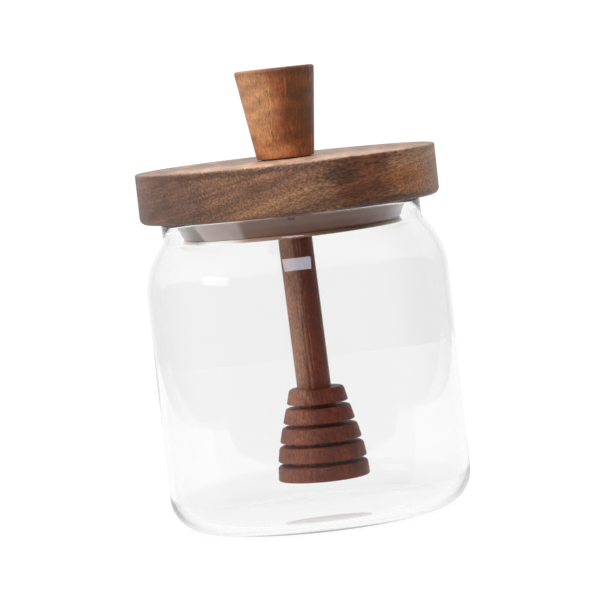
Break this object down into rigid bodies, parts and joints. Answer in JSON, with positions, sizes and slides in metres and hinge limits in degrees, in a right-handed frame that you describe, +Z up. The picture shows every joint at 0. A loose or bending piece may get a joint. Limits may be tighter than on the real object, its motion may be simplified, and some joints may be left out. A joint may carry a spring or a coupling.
{
  "type": "honey jar",
  "caption": "Clear glass jar with a rounded shoulder, a wooden disc lid with a tapered knob, and a ringed honey dipper hanging inside.",
  "frame": {"origin": "centre of the jar's base, on the surface it stands on", "axes": "+Z up along the jar's axis, -Y towards the viewer of the front, +X to the viewer's right"},
  "size_m": [0.095, 0.095, 0.1417],
  "materials": {
    "clear_glass": "clear, smooth and glossy",
    "lid_wood": "oiled brown hardwood with streaked grain",
    "clouded_silicone": "cloudy translucent silicone, half gloss",
    "knob_wood": "oiled orange-brown hardwood, upright grain",
    "dipper_wood": "oiled red-brown hardwood, turned"
  },
  "bodies": {
    "root": {"jar_glass": "clear_glass", "lid": "lid_wood", "seal_ring": "clouded_silicone", "knob": "knob_wood", "dipper": "dipper_wood"}
  },
  "joints": []
}
